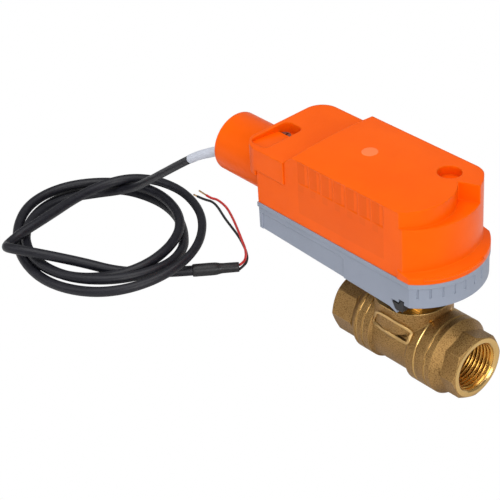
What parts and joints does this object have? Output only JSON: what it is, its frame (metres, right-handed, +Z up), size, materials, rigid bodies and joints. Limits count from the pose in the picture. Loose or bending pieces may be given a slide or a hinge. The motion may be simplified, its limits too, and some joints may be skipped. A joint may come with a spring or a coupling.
{
  "type": "motorized zone valve",
  "caption": "Straight brass ball valve with a latched electric actuator: orange cover on a blue-grey base, rear conduit cover, and a loosely coiled cable ending in bare-tipped wires.",
  "frame": {"origin": "centre of the front pipe port at the gauge plane of its thread", "axes": "+X out of the front port along the pipe, +Y across the pipe away from the latch side, +Z up the stem to the actuator"},
  "size_m": [0.2442, 0.1128, 0.0916],
  "materials": {
    "forged_brass": "forged grain, machined collars and ends",
    "chromed_ball": "polished",
    "turned_steel": "turned",
    "seat_plastic": "smooth",
    "seal_rubber": "soft sheen",
    "grey_plastic": "moulded, fine satin",
    "orange_plastic": "moulded, fine matte",
    "black_plastic": "moulded, satin",
    "gear_plastic": "moulded, waxy",
    "board_green": "lacquered laminate",
    "capacitor_film": "shrink film",
    "terminal_plastic": "moulded",
    "motor_can": "plated sheet",
    "cable_jacket": "soft sheen",
    "marker_white": "smooth",
    "shrink_black": "satin",
    "wire_red": "smooth",
    "wire_black": "smooth",
    "bare_copper": "drawn"
  },
  "bodies": {
    "housing": {"valve_body": "forged_brass", "body_end": "forged_brass", "body_seal": "seal_rubber", "thrust_washer": "seat_plastic", "seat_rear": "seat_plastic", "seat_front": "seat_plastic", "base_housing": "grey_plastic", "main_cover": "orange_plastic", "conduit_cover": "orange_plastic", "conduit_screw": "turned_steel", "axle_pins": "turned_steel", "gear_plate": "gear_plastic", "motor": "motor_can", "circuit_board": "board_green", "capacitors": "capacitor_film", "terminal_block": "terminal_plastic", "strain_relief": "seal_rubber", "cable_lead": "cable_jacket", "cable_coil": "cable_jacket", "cable_tail": "cable_jacket", "marker_sleeve": "marker_white", "shrink_tube": "shrink_black", "red_wire": "wire_red", "black_wire": "wire_black", "red_tip": "bare_copper", "black_tip": "bare_copper"},
    "drive": {"ball": "chromed_ball", "stem": "turned_steel", "stem_seals": "seal_rubber", "drive_coupling": "black_plastic", "output_gear": "gear_plastic"},
    "second_gear": {"gear_2": "gear_plastic"},
    "first_gear": {"gear_1": "gear_plastic"},
    "motor_shaft": {"motor_pinion": "turned_steel"},
    "latch": {"release_latch": "black_plastic"}
  },
  "joints": [
    {"name": "ball_turn", "type": "hinge", "parent": "housing", "child": "drive", "pos_m": [-0.0264, 0, 0], "axis": [0, 0, 1], "range_deg": [0, 90]},
    {"name": "gear_2_turn", "type": "hinge", "parent": "housing", "child": "second_gear", "pos_m": [-0.0489, 0.0037, 0.04], "axis": [0, 0, 1], "range_deg": [-337.5, 0]},
    {"name": "gear_1_turn", "type": "hinge", "parent": "housing", "child": "first_gear", "pos_m": [-0.06547, -0.006, 0.045], "axis": [0, 0, 1], "range_deg": [0, 1012.5]},
    {"name": "motor_turn", "type": "hinge", "parent": "housing", "child": "motor_shaft", "pos_m": [-0.04998, -0.01, 0.047], "axis": [0, 0, 1], "range_deg": [-3037.5, 0]},
    {"name": "latch_press", "type": "slide", "parent": "housing", "child": "latch", "axis": [0, 1, 0], "range_m": [0, 0.0025], "stiffness_N_per_m": 400, "springref_m": -0.001}
  ],
  "couplings": [
    {"joint": "gear_2_turn", "follows": "ball_turn", "ratio": -3.75},
    {"joint": "gear_1_turn", "follows": "ball_turn", "ratio": 11.25},
    {"joint": "motor_turn", "follows": "ball_turn", "ratio": -33.75}
  ]
}
